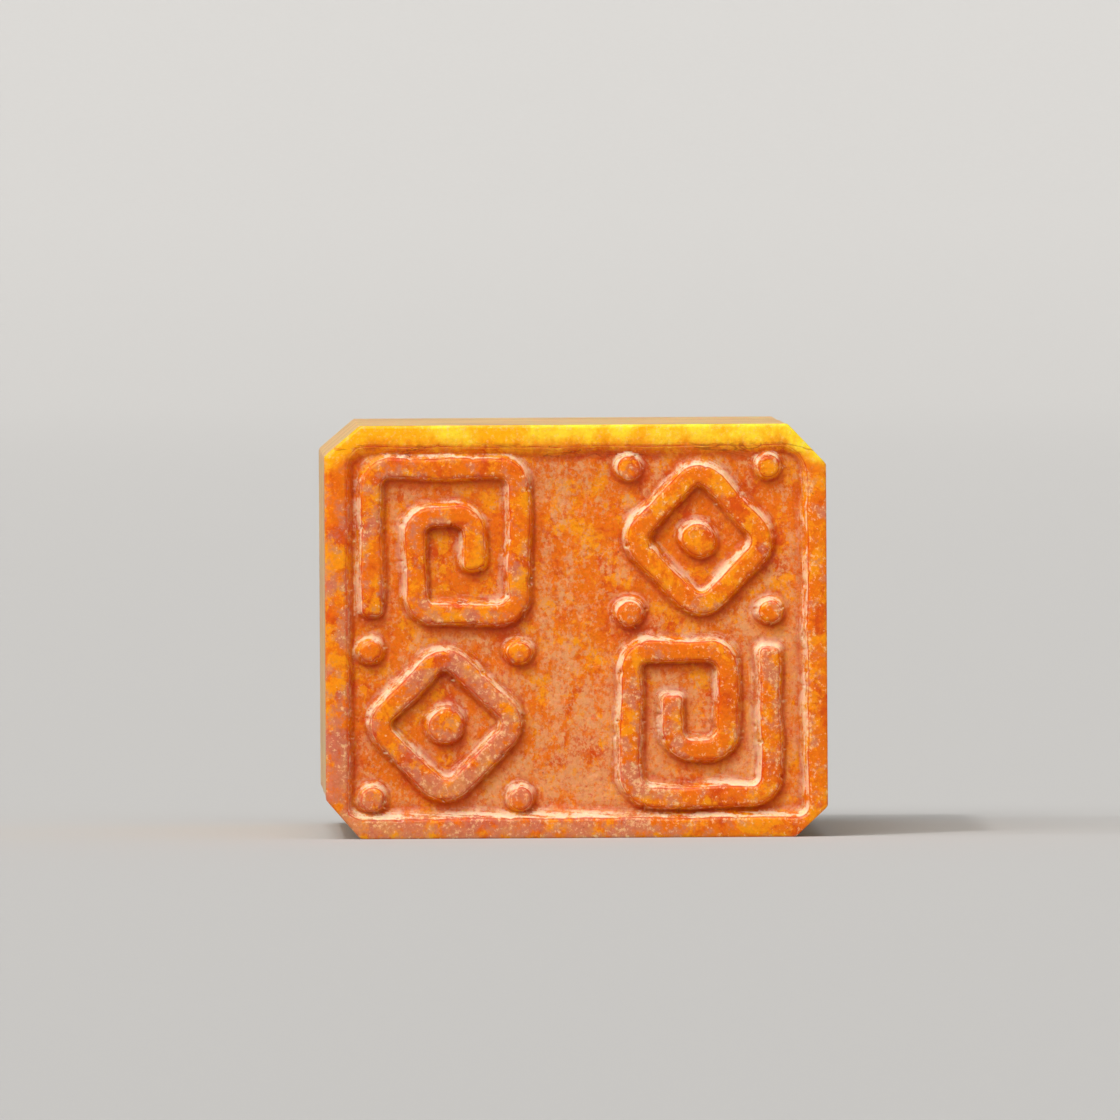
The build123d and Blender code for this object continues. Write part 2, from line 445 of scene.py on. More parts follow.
class Relief:
    """The carved face's depth, and how it was cut, at points of its plane."""

    def __init__(self, points, block, carving):
        reach = 0.04 * MM
        rim, strokes = cut_distances(points, block, carving)
        self.edge = np.minimum(rim, strokes)
        beside = np.minimum(*cut_distances(points + (reach, 0), block, carving))
        above = np.minimum(*cut_distances(points + (0, reach), block, carving))
        slope = np.column_stack([beside - self.edge, above - self.edge]) / reach
        self.away = slope / np.maximum(np.linalg.norm(slope, axis=1), 1e-6)[:, None]

        # Walls that face up and left were cut by a flatter blade than those that face down and right
        self.lit = self.away @ np.array(FLAT_BLADE_SIDE)
        lean = 1.12 + 0.38 * self.lit
        space = on_face(points)
        rough = 1 + 0.34 * noise(space, 2.6 * MM, 21)
        # The wall under the upper rim slopes gently
        rim_lean = lean + 1.6 * np.clip(-self.lit - 0.45, 0, None)
        rim_share = rim / (carving.rim_wall_spread * rim_lean * rough)
        stroke_share = strokes / (carving.stroke_wall_spread * lean * rough)
        share = np.minimum(rim_share, stroke_share)

        # The ground is dug with short pushes of a narrow flat blade, deeper along the foot of the walls
        hollows = swell(space, "ground_hollow") + swell(space, "ground_dip")
        turned = space @ np.array(Matrix.Rotation(0.5, 3, "Y"))
        pushes = (1 - np.abs(noise(turned / (1.0, 1.0, 2.6), 0.42 * MM, 33)) * 2) * 0.016 * MM
        foot = np.exp(-(((share - 1.22) / 0.26) ** 2)) * 0.055 * MM
        ground = carving.relief_depth + hollows + pushes + foot + swell(space, "ground_grain")
        ground += chips(space, "ground")
        # It rises toward the upper rim
        below = block.face_height - carving.upper_rim_width - points[:, 1]
        ground *= 1 - 0.40 * smooth_step(3.4 * MM, 0.5 * MM, below)

        down = np.interp(share, WALL_SPREAD_SHARES, WALL_DEPTH_SHARES)
        steps = noise(np.column_stack([share * 0.30 * MM, points * 0.10]), 0.075 * MM, 36)
        down += steps * 0.045 * np.sin(np.pi * np.clip(share, 0, 1))

        # The printing surfaces were rubbed flat, with pits where crystals broke out
        dishing = swell(space, "top_dish") + 0.006 * MM
        top = (chips(space, "top") + dishing) * (1 - smooth_step(0.0, 1.0, share))
        self.depth = np.clip(down, 0, None) * ground + np.abs(top)
        self.ground = smooth_step(0.55, 0.98, np.clip(down, 0, 1))
        self.foot = np.exp(-(((share - 1.0) / 0.30) ** 2))
        self.share = share


def spans_of_rows(block):
    """Heights of the face's rows: each corner of the section is on a row, each span has fours of rows."""
    corners = section_corners(block, FACE_BORDER)
    stops = sorted({corners[n][1] for n in (0, 2, 7, 3, 6, 4)})
    heights = [stops[0]]
    marks = [0]
    for low, high in zip(stops[:-1], stops[1:]):
        rows = max(4, 4 * round((high - low) / CELL / 4))
        heights += [low + (high - low) * n / rows for n in range(1, rows + 1)]
        marks.append(len(heights) - 1)
    return np.array(heights), marks


def loop_shares(block, heights):
    """For each point round the face: the two section corners it lies between, and its share of the way."""
    corners = section_corners(block, FACE_BORDER)
    shares = [(0, 1, n / COLUMNS) for n in range(COLUMNS)]
    for height in heights[:-1]:
        first = max(n for n in (1, 2, 3) if corners[n][1] <= height + TOUCHING)
        rise = corners[first + 1][1] - corners[first][1]
        shares.append((first, first + 1, (height - corners[first][1]) / rise))
    shares += [(4, 5, n / COLUMNS) for n in range(COLUMNS)]
    for height in heights[:0:-1]:
        first = min(n for n in (5, 6, 7) if corners[(n + 1) % 8][1] < height - TOUCHING)
        rise = corners[(first + 1) % 8][1] - corners[first][1]
        shares.append((first, (first + 1) % 8, (height - corners[first][1]) / rise))
    return shares


def section_loop(block, inset, shares):
    """The points round the block's section at an inset."""
    corners = section_corners(block, inset)
    points = np.array([corners[a] * (1 - share) + corners[b] * share for a, b, share in shares])
    return soften_corners(points, corners, max(block.long_arris_radius - inset, 0.02 * MM))


def face_arris(block, loop):
    """How far the polished arris round the face is worn back, point by point."""
    ahead = np.roll(loop, -1, axis=0) - np.roll(loop, 1, axis=0)
    ahead /= np.linalg.norm(ahead, axis=1)[:, None]
    right, up = ahead[:, 1], -ahead[:, 0]
    edges = (
        (up, block.upper_arris_radius),
        (-up, block.lower_arris_radius),
        (right, block.right_arris_radius),
        (-right, block.left_arris_radius),
    )
    radius = sum(np.clip(toward, 0, None) ** 2 * size for toward, size in edges)
    # The wear passes evenly from one edge to the next
    near = np.arange(-6, 7)
    radius = sum(np.roll(radius, n) for n in near) / len(near)
    space = on_face(loop)
    radius *= 1 + 0.25 * noise(space, 2.5 * MM, 51)
    return np.minimum(radius + chips(space, "arris"), FACE_BORDER)


class StoneMesh:
    """Points, faces and marks of the stone, gathered loop by loop."""

    def __init__(self):
        self.points = []
        self.marks = []
        self.faces = []
        self.count = 0

    def add_points(self, across, along, up, marks):
        """Adds points with their marks and returns their numbers."""
        self.points.append(np.column_stack([across, along, up]))
        self.marks.append(np.column_stack([np.broadcast_to(mark, len(across)) for mark in marks]))
        first = self.count
        self.count += len(across)
        return np.arange(first, self.count)

    def add_grid(self, numbers, depth, flip):
        """Faces a grid of points. Each face is cut along the diagonal whose ends differ least in depth."""
        corners = [numbers[:-1, :-1], numbers[:-1, 1:], numbers[1:, 1:], numbers[1:, :-1]]
        depths = [depth[:-1, :-1], depth[:-1, 1:], depth[1:, 1:], depth[1:, :-1]]
        turn = np.abs(depths[1] - depths[3]) < np.abs(depths[0] - depths[2])
        quads = np.stack([np.where(turn, corners[(n + 1) % 4], corners[n]) for n in range(4)], axis=-1)
        quads = quads.reshape(-1, 4)
        self.faces += (quads[:, ::-1] if flip else quads).tolist()

    def add_band(self, inner, outer):
        """Faces the band between two loops with as many points."""
        quads = np.column_stack([outer, np.roll(outer, -1), np.roll(inner, -1), inner])
        self.faces += quads.tolist()

    def add_ring(self, inner, loop, along, marks):
        """Adds a loop of points, faces the band between it and the loop before, and returns its numbers."""
        outer = self.add_points(loop[:, 0], np.broadcast_to(along, len(loop)), loop[:, 1], marks)
        self.add_band(inner, outer)
        return outer

    def add_stitch(self, fine, coarse, kept):
        """Faces the band from a fine loop to a coarse one that kept only some of its points."""
        for n, start in enumerate(kept):
            end = kept[n + 1] if n + 1 < len(kept) else len(fine)
            run = [int(fine[k % len(fine)]) for k in range(start, end + 1)]
            near, far = int(coarse[n]), int(coarse[(n + 1) % len(coarse)])
            if len(run) == 2:
                self.faces.append([near, far, run[1], run[0]])
                continue
            half = (len(run) - 1) // 2
            fans = [[near if k < half else far, run[k + 1], run[k]] for k in range(len(run) - 1)]
            self.faces += [*fans[:half], [near, far, run[half]], *fans[half:]]


# Marks kept on the stone's points for its material, and what they say on the arris round the face, on the
# first ring of the sides and beyond it
MARKS = ("printing_surface", "cut_ground", "wall_foot", "wall_light", "wall_travel")
ARRIS_MARKS = (1.0, 0.0, 0.0, 0.0, -1.0)
FIRST_RING_MARKS = (0.4, 0.0, 0.0, 0.0, -1.0)
SIDE_MARKS = (0.0, 0.0, 0.0, 0.0, -1.0)


def carve_face(stone, block, carving, heights, front):
    """Adds the printing face, a grid that fills the section inside its arris, and returns its numbers."""
    corners = section_corners(block, FACE_BORDER)
    left = np.interp(heights, corners[[0, 7, 6, 5], 1], corners[[0, 7, 6, 5], 0])
    right = np.interp(heights, corners[[1, 2, 3, 4], 1], corners[[1, 2, 3, 4], 0])
    across = left[:, None] + (right - left)[:, None] * np.linspace(0, 1, COLUMNS + 1)
    plane = np.column_stack([across.ravel(), np.repeat(heights, COLUMNS + 1)])

    # Points near a cut edge, its lip or the foot of a wall are moved onto it, so that all three are crisp
    for _ in range(2):
        relief = Relief(plane, block, carving)
        spread = np.where(relief.share > 0, relief.edge / np.maximum(relief.share, 1e-6), 0.4 * MM)
        for target, reach_in_cells in ((0.0, 0.5), (0.20, 0.3), (1.0, 0.5)):
            gap = (relief.share - target) * spread
            near = (np.abs(gap) < CELL * reach_in_cells) & (relief.edge < 1.5 * MM)
            plane[near] -= 0.8 * gap[near, None] * relief.away[near]
    relief = Relief(plane, block, carving)
    marks = (1.0, relief.ground, relief.foot, relief.lit, relief.edge / MM)
    numbers = stone.add_points(plane[:, 0], front + relief.depth, plane[:, 1], marks)
    grid = numbers.reshape(len(heights), COLUMNS + 1)
    stone.add_grid(grid, relief.depth.reshape(grid.shape), flip=False)
    return grid


def polish_arris(stone, block, shares, inner, front):
    """Adds the polished arris round the face and the first ring of the sides, and returns that ring."""
    radius = face_arris(block, section_loop(block, 0.0, shares))
    for inset in np.array(ARRIS_INSETS) * MM:
        loop = section_loop(block, inset, shares)
        short = np.maximum(radius - inset, 0)
        drop = radius - np.sqrt(np.maximum(radius**2 - short**2, 0))
        inner = stone.add_ring(inner, loop, front + drop, ARRIS_MARKS)
    return stone.add_ring(inner, loop, front + FIRST_RING * MM, FIRST_RING_MARKS)


def rub_sides(stone, block, side_loop, kept, fine, front):
    """Adds the long sides with the kept points, which hand polishing left very slightly hollow and waved."""
    ahead = np.roll(side_loop, -1, axis=0) - np.roll(side_loop, 1, axis=0)
    ahead /= np.linalg.norm(ahead, axis=1)[:, None]
    out = np.column_stack([ahead[:, 1], -ahead[:, 0]])
    far = block.block_length / MM - HEAD_GAP
    hollow = 0.030 * MM
    fade_start, fade_end = 0.5 * MM, 3.0 * MM
    inner = None
    for step in np.concatenate([CLOSE_RINGS, np.linspace(EVEN_RINGS_START, far, EVEN_RINGS)]) * MM:
        space = np.column_stack([side_loop[:, 0], np.full(len(side_loop), front + step), side_loop[:, 1]])
        wave = swell(space, "side_wave") - hollow
        before_head = smooth_step(fade_start, fade_end, far * MM - step + fade_start)
        wave *= smooth_step(fade_start, fade_end, step) * before_head
        moved = side_loop + out * wave[:, None]
        moved[:, 1] = np.maximum(moved[:, 1], 0)
        if inner is None:
            inner = stone.add_points(moved[:, 0], space[:, 1], moved[:, 1], SIDE_MARKS)
            stone.add_stitch(fine, inner, kept)
        else:
            inner = stone.add_ring(inner, moved, space[:, 1], SIDE_MARKS)
    return inner


def close_head(stone, block, kept_shares, kept_rows, kept_columns, inner, front):
    """Adds the soft arris round the head, then the flat head itself."""
    radius = block.head_arris_radius
    for turn in np.radians([0, 22.5, 45, 67.5, 90]):
        loop = section_loop(block, radius * (1 - math.cos(turn)), kept_shares)
        inner = stone.add_ring(inner, loop, -front - radius + radius * math.sin(turn), SIDE_MARKS)
    rows, columns = len(kept_rows), len(kept_columns)
    cap = np.empty((rows, columns), int)
    bottom, side = columns - 1, rows - 1
    cap[0, :-1] = inner[:bottom]
    cap[:-1, -1] = inner[bottom : bottom + side]
    cap[-1, :0:-1] = inner[bottom + side : 2 * bottom + side]
    cap[:0:-1, 0] = inner[2 * bottom + side :]
    points = dict(zip(inner.tolist(), loop))
    inside = []
    for row in range(1, rows - 1):
        first, last = points[cap[row, 0]], points[cap[row, -1]]
        for column in kept_columns[1:-1]:
            share = column / COLUMNS
            inside.append(first * (1 - share) + last * share)
    inside = np.array(inside)
    new = stone.add_points(inside[:, 0], np.full(len(inside), -front), inside[:, 1], SIDE_MARKS)
    cap[1:-1, 1:-1] = new.reshape(rows - 2, columns - 2)
    stone.add_grid(cap, np.zeros(cap.shape), flip=True)


def build_stone_mesh(block, carving):
    """The whole stone as one closed mesh: fine over the printing face, coarser on the sides and the head."""
    front = -block.block_length / 2
    stone = StoneMesh()
    heights, stops = spans_of_rows(block)
    grid = carve_face(stone, block, carving, heights, front)
    shares = loop_shares(block, heights)
    inner = np.concatenate([grid[0, :-1], grid[:-1, -1], grid[-1, :0:-1], grid[:0:-1, 0]])
    fine = polish_arris(stone, block, shares, inner, front)

    # Fewer points go on along the sides: every fourth, and the neighbours of each long arris
    kept_columns = sorted({*range(0, COLUMNS + 1, 4), 1, COLUMNS - 1})
    beside = {stop + step for stop in stops for step in (-1, 0, 1)}
    last = len(heights) - 1
    kept_rows = sorted({*range(0, last + 1, 4), *(row for row in beside if 0 <= row <= last)})
    kept = (
        kept_columns[:-1]
        + [COLUMNS + row for row in kept_rows[:-1]]
        + [COLUMNS + last + COLUMNS - column for column in kept_columns[:0:-1]]
        + [2 * COLUMNS + last + last - row for row in kept_rows[:0:-1]]
    )
    side_loop = section_loop(block, 0.0, shares)[kept]
    inner = rub_sides(stone, block, side_loop, kept, fine, front)
    close_head(stone, block, [shares[k] for k in kept], kept_rows, kept_columns, inner, front)
    return stone


def add_object(name, data, location=(0, 0, 0), rotation=(1, 0, 0, 0)):
    """Adds an object with its mesh, lamp or lens to the scene."""
    thing = bpy.data.objects.new(name, data)
    thing.location = location
    thing.rotation_mode = "QUATERNION"
    thing.rotation_quaternion = rotation
    bpy.context.scene.collection.objects.link(thing)
    return thing


def add_mesh(name, points, faces):
    """A smooth-shaded object from points and faces."""
    mesh = bpy.data.meshes.new(name)
    mesh.from_pydata(points, [], faces)
    mesh.update()
    mesh.shade_smooth()
    return add_object(name, mesh)


def make_stone_object(stone, name):
    """Turns the gathered points and faces into an object with its marks."""
    piece = add_mesh(name, np.concatenate(stone.points).tolist(), stone.faces)
    values = np.concatenate(stone.marks)
    for n, mark in enumerate(MARKS):
        layer = piece.data.attributes.new(mark, "FLOAT", "POINT")
        layer.data.foreach_set("value", values[:, n].astype(np.float32))
    return piece


def add_node(tree, kind, *values, named=None, output=None, **settings):
    """Adds a node with its settings, sets or links its inputs in order and by name, and returns an output."""
    kind, usual = NODES.get(kind, (kind, {}))
    node = tree.nodes.new("ShaderNode" + kind)
    for name, value in (usual | settings).items():
        setattr(node, name, value)
    ready = [socket for socket in node.inputs if not socket.is_unavailable]
    pairs = list(zip(ready, values))
    for name, value in (named or {}).items():
        pairs.append((next(socket for socket in ready if socket.name == name), value))
    for socket, value in pairs:
        if isinstance(value, bpy.types.NodeSocket):
            tree.links.new(value, socket)
        else:
            socket.default_value = value
    outputs = [s for s in node.outputs if not s.is_unavailable and output in (None, s.name)]
    return outputs[0] if outputs else None


def empty_material(name):
    """A material without nodes."""
    material = bpy.data.materials.new(name)
    material.use_nodes = True
    material.node_tree.nodes.clear()
    return material


def soapstone(colours, block):
    """Waxed amber soapstone: sawn, carved with a knife, rubbed flat on the printing surfaces and waxed.

    To the eye it is a warm translucent stone with clouds from red-orange to amber, soft under the surface,
    glossy where it was polished and drier, with a pale bloom, where the knife went. Its colour also holds
    painted light: a yellow glow along the upper side, highlights on the walls that face the lamps, shade at
    the foot of the walls and a slightly darker lower part.

    The values of a MapRange or SmoothRange are, in order: the value read, where the range starts and where it
    ends, and the share given at each end.
    """
    material = empty_material("waxed_amber_soapstone")
    node = partial(add_node, material.node_tree)
    place = node("TexCoord", output="Object")
    sideways, lengthways, height = (node("SeparateXYZ", place, output=axis) for axis in "XYZ")
    printing, ground, foot, wall_light, travel = (
        node("Attribute", output="Fac", attribute_name=mark) for mark in MARKS
    )
    streak_place, crack_place, scratch_place = (
        node("Mapping", named={"Vector": place, "Scale": stretch})
        for stretch in ((1.0, 1.0, 0.45), (0.25, 1.0, 1.0), (1.0, 1.0, 0.08))
    )
    patterns = {
        # Name: place, size in millimetres, detail, roughness, distortion
        "regions": (place, 7.0, 2.0, 0.50, 0.0),
        "clouds": (place, 3.0, 10.0, 0.70, 0.4),
        "windows": (place, 1.6, 10.0, 0.72, 0.3),
        "rind": (place, 8.0, 10.0, 0.66, 0.3),
        "fibres": (place, 3.4, 3.0, 0.60, 0.6),
        "lilac": (place, 1.3, 9.0, 0.68, 0.0),
        "flecks": (place, 0.32, 6.0, 0.72, 0.0),
        "bloom": (streak_place, 0.9, 10.0, 0.78, 0.2),
        "flakes": (place, 0.30, 5.0, 0.70, 0.0),
        "patches": (place, 1.4, 5.0, 0.75, 0.0),
        "wear": (place, 1.1, 3.0, 0.60, 0.0),
        "cracks": (crack_place, 1.7, 4.0, 0.55, 0.5),
        "crystals": (place, 0.18, 3.0, 0.65, 0.0),
        "grain": (place, 0.15, 3.0, 0.60, 0.0),
        "scratches": (scratch_place, 0.14, 3.0, 0.60, 0.0),
    }
    pattern = {
        name: node("TexNoise", at, 1 / (size * MM), detail, roughness, named={"Distortion": distortion})
        for name, (at, size, detail, roughness, distortion) in patterns.items()
    }

    # Gaps between a value and its middle: thin lines run where a gap closes
    side, upper = block.face_width / 2, block.face_height
    lines = ((pattern["fibres"], 0.5), (pattern["cracks"], 0.5), (travel, 0.02), (height, upper - 1.55 * MM))
    fibre_gap, crack_gap, lip_gap, foot_gap = (
        node("Absolute", node("Subtract", value, middle)) for value, middle in lines
    )

    # Clouds from red-orange to the body colour, with flaky edges
    body_share = node("SmoothRange", pattern["clouds"], 0.39, 0.49, 0.10, 1.0)
    stone = node("Blend", body_share, colours.deep, colours.body)

    # Clear amber windows, more of them toward both sides
    from_middle = node("Absolute", sideways)
    window_drift = node("MultiplyAdd", from_middle, 0.002 / MM, pattern["windows"])
    amber_share = node("SmoothRange", window_drift, 0.51, 0.59, 0.0, 0.80)

    # Painted glow of light coming through the lit upper side of the stone: a yellow band along the upper side
    # of the face, which comes down a little at both upper corners
    top_glow_edge = node("Multiply", pattern["windows"], 1.8 * MM)
    top_glow_height = node("Add", height, top_glow_edge)
    top_glow_hang = node("MapRange", from_middle, side - 2.4 * MM, side - 0.6 * MM, 0.0, 1.3 * MM)
    top_glow_height = node("Add", top_glow_height, top_glow_hang)
    top_glow_share = node("SmoothRange", top_glow_height, upper - 0.9 * MM, upper + 0.5 * MM, 0.0, 0.96)
    below_top_glow = node("MapRange", top_glow_height, upper - 1.5 * MM, upper - 0.5 * MM, 1.0, 0.0)
    # Paler yellow clouds in the painted glow, fewer toward the upper corners
    glow_drift = node("MultiplyAdd", sideways, 0.005 / MM, pattern["clouds"])
    corner_loss = node("Multiply", top_glow_hang, 0.08 / MM)
    glow_drift = node("Subtract", glow_drift, corner_loss)
    glow_share = node("SmoothRange", glow_drift, 0.38, 0.60)
    skin = node("Blend", glow_share, colours.skin, colours.painted_top_glow_pale)
    flecks_in_top_glow = node("MapRange", pattern["flecks"], 0.53, 0.66, 0.0, 0.45)

    # The long sides and the head keep the honey-coloured rind of the pebble: soft clouds, amber windows and a
    # faint net of fibres. The red of the face creeps a few millimetres over the arris.
    rind_start = -block.block_length / 2 + 1.5 * MM
    rind_drift = node("MultiplyAdd", pattern["clouds"], 3.0 * MM, lengthways)
    rind_share = node("SmoothRange", rind_drift, rind_start + 0.3 * MM, rind_start + 3.4 * MM)
    not_printing = node("Subtract", 1.0, printing)
    rind_share = node("Multiply", rind_share, not_printing)
    rind_tone = node("SmoothRange", pattern["rind"], 0.34, 0.60)
    fibre_share = node("MapRange", fibre_gap, 0.0, 0.045, 0.35, 0.0)
    rind_amber = node("Multiply", amber_share, 0.45)
    rind = node("Blend", rind_tone, colours.rind_shade, colours.rind)
    for share, tint in ((fibre_share, colours.rind_shade), (rind_amber, colours.amber)):
        rind = node("Blend", share, rind, tint)

    # Lilac clouds in the printing surfaces, more of them toward the lower left
    not_ground = node("Subtract", 1.0, ground)
    top = node("Multiply", printing, not_ground)
    top = node("Multiply", top, below_top_glow)
    lower_left_corner = (-block.face_width * 0.4, -block.block_length / 2, 0)
    corner_gap = node("VectorMath", place, lower_left_corner, operation="DISTANCE")
    lower_left = node("MapRange", corner_gap, 5 * MM, 25 * MM, 0.11, -0.03)
    lilac_drift = node("MultiplyAdd", pattern["regions"], 0.35, pattern["lilac"])
    lilac_drift = node("Add", lilac_drift, lower_left)
    lilac_share = node("SmoothRange", lilac_drift, 0.67, 0.80, 0.0, 0.62)

    # Pale flecks, thickest along the worn edges
    edge_share = node("MapRange", travel, -0.55, 0.0, 0.0, 0.05)
    fleck_drift = node("MultiplyAdd", lilac_drift, 0.4, pattern["flecks"])
    fleck_drift = node("Add", fleck_drift, edge_share)
    fleck_drift = node("MultiplyAdd", sideways, 0.002 / MM, fleck_drift)
    fleck_share = node("SmoothRange", fleck_drift, 0.85, 0.95, 0.0, 0.60)

    # Fine red clouding, deepest in the cut ground
    red_share = node("MapRange", pattern["flecks"], 0.34, 0.48, 1.0, 0.0)
    red_reach = node("MultiplyAdd", ground, 0.35, 0.25)
    red_below = node("MapRange", below_top_glow, 0.0, 1.0, 0.4, 1.0)

    # Dry bloom on the cut ground: a thin streaky film, with flakes in it, heavier toward the resting side
    low_share = node("MapRange", height, 0.0, upper, 0.035, -0.045)
    bloom_drift = node("MultiplyAdd", pattern["regions"], 0.5, pattern["bloom"])
    bloom_drift = node("Add", bloom_drift, low_share)
    film_share = node("SmoothRange", bloom_drift, 0.71, 0.80, 0.0, 0.34)
    flake_drift = node("MultiplyAdd", bloom_drift, 0.7, pattern["flakes"])
    flake_share = node("SmoothRange", flake_drift, 1.02, 1.07, 0.0, 0.62)
    bloom_share = node("Add", film_share, flake_share)

    # Painted shade: deep red-orange along the foot of the walls, most beside walls that face down and right,
    # away from the lamps; the bloom is left off there
    shade_reach = node("SmoothRange", travel, 0.30, 1.15, 1.0, 0.0)
    shade_side = node("MapRange", wall_light, -0.8, 0.3, 1.0, 0.15)
    painted_shade_share = node("Multiply", shade_reach, shade_side)
    outside_painted_shade = node("Subtract", 1.0, painted_shade_share)

    # Painted highlight on the walls that face up and left toward the lamps: pale streaks in the knife's own
    # lines along them, feathering out over the ground. The real lines are a few hundredths of a millimetre
    # apart. These are a seventh, so as to show.
    across = node("Multiply", travel, 7.0)
    slow = node("VectorMath", place, (0.5 / MM,) * 3, operation="MULTIPLY")
    knife_place = node("CombineXYZ", across)
    knife_place = node("VectorMath", knife_place, slow, operation="ADD")
    knife_lines = node("TexNoise", knife_place, 1.0, 4.0, 0.62)
    highlight_facing_share = node("SmoothRange", wall_light, -0.45, 0.75, 0.0, 0.85)
    wall_band_start = node("SmoothRange", travel, 0.02, 0.10)
    wall_band_end = node("MapRange", travel, 0.32, 0.78, 1.0, 0.0)
    patch_share = node("Multiply", pattern["patches"], 1.8)
    highlight_streaks = node("MultiplyAdd", knife_lines, 1.1, patch_share)
    highlight_streaks = node("MultiplyAdd", wall_band_end, 0.18, highlight_streaks)
    highlight_streaks = node("SmoothRange", highlight_streaks, 1.50, 1.74)

    # Deep red lines along the lip of each edge, and painted shade as a deep red line in the crease at the
    # foot of each wall
    edge_line_and_crease_shade = node("SmoothRange", lip_gap, 0.01, 0.06, 0.8, 0.0)
    crease_shade_share = node("Multiply", foot, 0.6)
    edge_line_and_crease_shade = node("Maximum", edge_line_and_crease_shade, crease_shade_share)
    lip_strength = node("MapRange", pattern["wear"], 0.35, 0.60, 0.25, 1.0)

    # Hairline cracks along the foot of the upper rim, and small dark specks
    crack_share = node("SmoothRange", crack_gap, 0.002, 0.014, 0.5, 0.0)
    crack_area = node("SmoothRange", foot_gap, 0.20 * MM, 0.60 * MM, 1.0, 0.0)
    specks = node("TexVoronoi", place, 1 / (1.6 * MM))
    speck_share = node("SmoothRange", specks, 0.020, 0.045, 0.5, 0.0)

    # Pale grains a tenth of a millimetre across, some alone and some in clusters
    grains = node("TexVoronoi", place, 1 / (0.48 * MM))
    grain_share = node("SmoothRange", grains, 0.08, 0.16, 0.6, 0.0)
    grain_pick = node("MapRange", pattern["flecks"], 0.53, 0.60)

    # The layers in their order, each as strong as all its shares together
    layers = (
        (colours.amber, amber_share),
        # Painted glow along the upper side
        (skin, top_glow_share),
        (rind, rind_share),
        (colours.lilac, lilac_share, top),
        (colours.fleck, fleck_share, top),
        (colours.fleck, flecks_in_top_glow, top_glow_share),
        # Painted shade at the foot of the walls, with the bloom left off there
        (colours.deep, painted_shade_share, ground, 0.55),
        (colours.bloom, bloom_share, outside_painted_shade, ground),
        (colours.line, red_share, red_reach, red_below, printing),
        # Painted highlight on the walls that face up and left, toward the lamps
        (colours.painted_wall_highlight, highlight_facing_share, wall_band_start, wall_band_end, highlight_streaks),
        # Deep red lip lines, and painted shade in the crease at the foot of the walls
        (colours.line, edge_line_and_crease_shade, lip_strength),
        (colours.vein, crack_area, printing, crack_share),
        (colours.vein, speck_share),
        (colours.fleck, grain_share, grain_pick, top),
    )
    for tint, share, *factors in layers:
        for factor in factors:
            share = node("Multiply", share, factor)
        stone = node("Blend", share, stone, tint)

    # Crystals make the colour sparkle a little, and painted shade makes it slightly darker toward the bottom
    crystal_tone = node("MapRange", pattern["crystals"], 0.3, 0.7, 0.91, 1.08)
    painted_low_shade = node("MapRange", height, 0.0, upper, 0.95, 1.03)
    tone = node("Multiply", crystal_tone, painted_low_shade)
    stone = node("VectorMath", stone, tone, operation="SCALE")

    # Waxed polish on the printing surfaces, a slightly duller cut ground and rind
    dull = node("MapRange", pattern["lilac"], 0.3, 0.7, 0.13, 0.24)
    for share, more in ((ground, 0.10), (rind_share, 0.15)):
        dull = node("MultiplyAdd", share, more, dull)

    # Fine grain, knife lines on the walls, scratches down the ground, and edges rounded by wear and handling
    grain_height = node("MultiplyAdd", ground, 0.5, 0.10)
    scratch_height = node("Multiply", ground, 0.35)
    rounding = node("SmoothRange", travel, -0.14, 0.02)
    wear_depth = node("MapRange", pattern["wear"], 0.35, 0.65, -0.6, -1.7)
    relief = (
        (pattern["grain"], grain_height),
        (wall_band_start, wall_band_end, knife_lines, 1.8),
        (pattern["scratches"], scratch_height),
        (rounding, wear_depth),
    )
    total = 0.0
    for share, *factors in relief:
        for factor in factors:
            share = node("Multiply", share, factor)
        total = node("Add", total, share)
    bump = node("Bump", named={"Height": total, "Strength": 1.0, "Distance": 0.045 * MM})

    shader = node(
        "BsdfPrincipled",
        named={
            "Base Color": stone,
            "Roughness": dull,
            "IOR": 1.56,
            "Specular IOR Level": 0.15,
            "Normal": bump,
            "Subsurface Weight": 0.75,
            "Subsurface Radius": (1.0, 0.22, 0.06),
            "Subsurface Scale": 1.2 * MM,
        },
        subsurface_method="RANDOM_WALK",
    )
    node("OutputMaterial", shader)
    return material


def plain_material(name, colour_value, roughness):
    """Matte seamless paper for the floor and the backdrop."""
    material = empty_material(name)
    node = partial(add_node, material.node_tree)
    place = node("TexCoord", output="Object")
    fibre = node("TexNoise", place, 1 / (0.9 * MM), 2.0)
    tone = node("MapRange", fibre, 0.0, 1.0, 0.985, 1.015)
    shade = node("VectorMath", colour_value[:3], tone, operation="SCALE")
    shader = node("BsdfPrincipled", named={"Base Color": shade, "Roughness": roughness})
    node("OutputMaterial", shader)
    return material


def make_backdrop(name):
    """A round floor that sweeps up into a wall on all sides, far outside the object."""
    sides, steps = 96, 8
    flat, sweep, top = 3.4, 1.4, 1.8
    profile = [(radius, 0.0) for radius in (0.0, 0.4, 1.2, 2.4, flat)]
    for step in range(1, steps + 1):
        turn = math.radians(90 * step / steps)
        profile.append((flat + sweep * math.sin(turn), sweep * (1 - math.cos(turn))))
    profile.append((flat + sweep, top))
    turns = [2 * math.pi * side / sides for side in range(sides)]
    points = [(0.0, 0.0, 0.0)]
    points += [
        (radius * math.cos(turn), radius * math.sin(turn), height)
        for radius, height in profile[1:]
        for turn in turns
    ]
    faces = [(0, 1 + side, 1 + (side + 1) % sides) for side in range(sides)]
    for first in range(1, len(points) - sides, sides):
        for side in range(sides):
            after = (side + 1) % sides
            faces.append((first + side, first + sides + side, first + sides + after, first + after))
    return add_mesh(name, points, faces)


